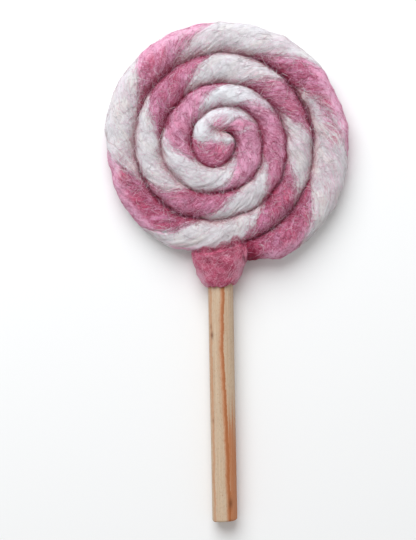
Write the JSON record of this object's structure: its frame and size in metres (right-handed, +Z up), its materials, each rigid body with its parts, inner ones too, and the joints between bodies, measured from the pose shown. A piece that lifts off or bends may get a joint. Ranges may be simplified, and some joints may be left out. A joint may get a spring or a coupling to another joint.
{
  "type": "felt toy lollipop",
  "caption": "Toy lollipop: a rope of twisted pink and white felted wool, coiled flat and bound by a felt collar to a plain wooden stick.",
  "frame": {"origin": "middle of the whole toy's footprint, on the surface that it lies on", "axes": "+Z up out of the coil's shown face; +Y from the stick towards the coil; +X to the right as the face is seen"},
  "size_m": [0.0776, 0.1594, 0.0107],
  "materials": {
    "pink_wool": "hairy felted wool",
    "white_wool": "hairy felted wool",
    "collar_felt": "felted wool",
    "stick_wood": "bare, fine sanded"
  },
  "bodies": {
    "root": {"pink_strand": "pink_wool", "white_strand": "white_wool", "collar": "collar_felt", "stick": "stick_wood"}
  },
  "joints": []
}
